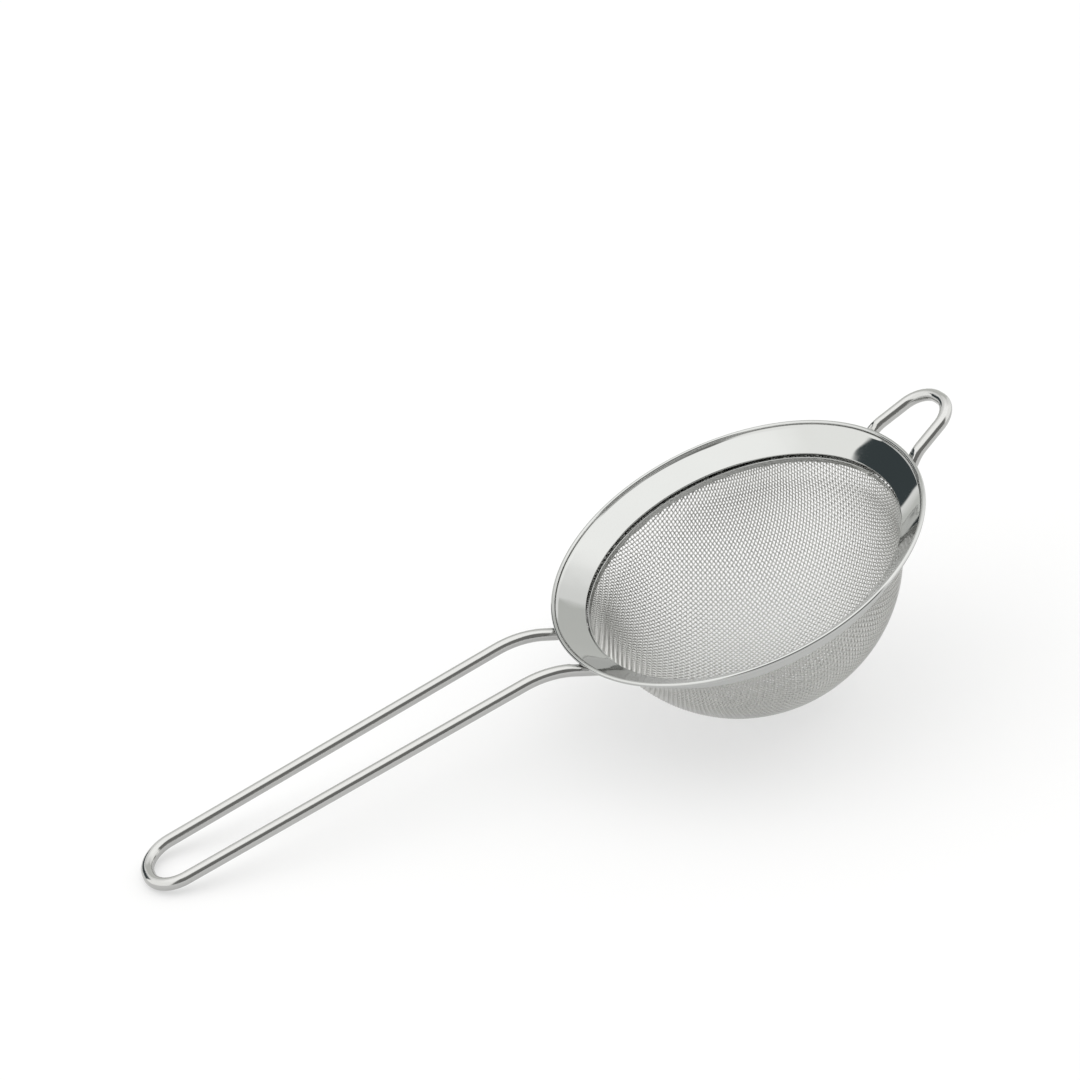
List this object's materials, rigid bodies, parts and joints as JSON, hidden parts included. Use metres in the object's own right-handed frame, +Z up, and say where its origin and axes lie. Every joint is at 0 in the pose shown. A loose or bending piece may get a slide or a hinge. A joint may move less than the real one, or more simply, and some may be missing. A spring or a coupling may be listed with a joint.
{
  "type": "tea strainer",
  "caption": "Tea strainer: round woven-wire bowl in a sloping steel rim, with a long bent-wire handle and a short hanging loop welded under the rim.",
  "frame": {"origin": "the point where the bottom of the bowl touches the table, with the strainer lying on its bowl and the end of its handle", "axes": "+Z up from the table; +X level, towards the hanging loop, so the handle runs towards -X; +Y completes a right-handed frame. The rim leans so that its loop side is the high side."},
  "size_m": [0.1806, 0.08, 0.0545],
  "materials": {
    "polished_steel": "polished",
    "wire_cloth": "bright woven wire",
    "drawn_wire": "bright drawn",
    "weld_metal": "satin"
  },
  "bodies": {
    "root": {"rim_band": "polished_steel", "clamp_ring": "polished_steel", "mesh_bowl": "wire_cloth", "handle_wire": "drawn_wire", "hanging_loop": "drawn_wire", "weld_nuggets": "weld_metal"}
  },
  "joints": []
}
